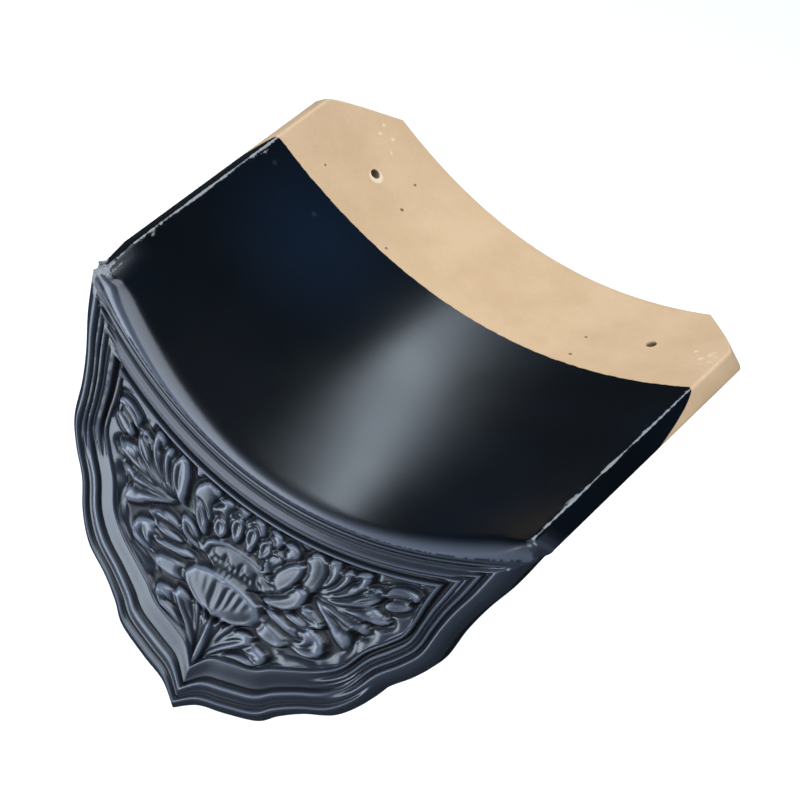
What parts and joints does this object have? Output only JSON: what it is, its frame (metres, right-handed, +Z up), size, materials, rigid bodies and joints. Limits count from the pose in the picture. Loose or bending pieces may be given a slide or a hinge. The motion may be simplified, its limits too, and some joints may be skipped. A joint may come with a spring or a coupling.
{
  "type": "glazed drip tile",
  "caption": "Eaves drip tile: a shallow curved pan with cut tail corners and nail holes, and a hanging scalloped, pointed apron with a moulded border and a peony in relief.",
  "frame": {"origin": "on the flat bed under the middle of the pan, 80 mm behind the front of the rims, where the tile is laid on the roof", "axes": "+X across the tile, +Y from the apron towards the tail, +Z up"},
  "size_m": [0.2393, 0.256, 0.154],
  "materials": {
    "glaze": "blue-black glaze, satin on the apron and bare tan clay at the tail"
  },
  "bodies": {
    "root": {"drip_tile": "glaze"}
  },
  "joints": []
}
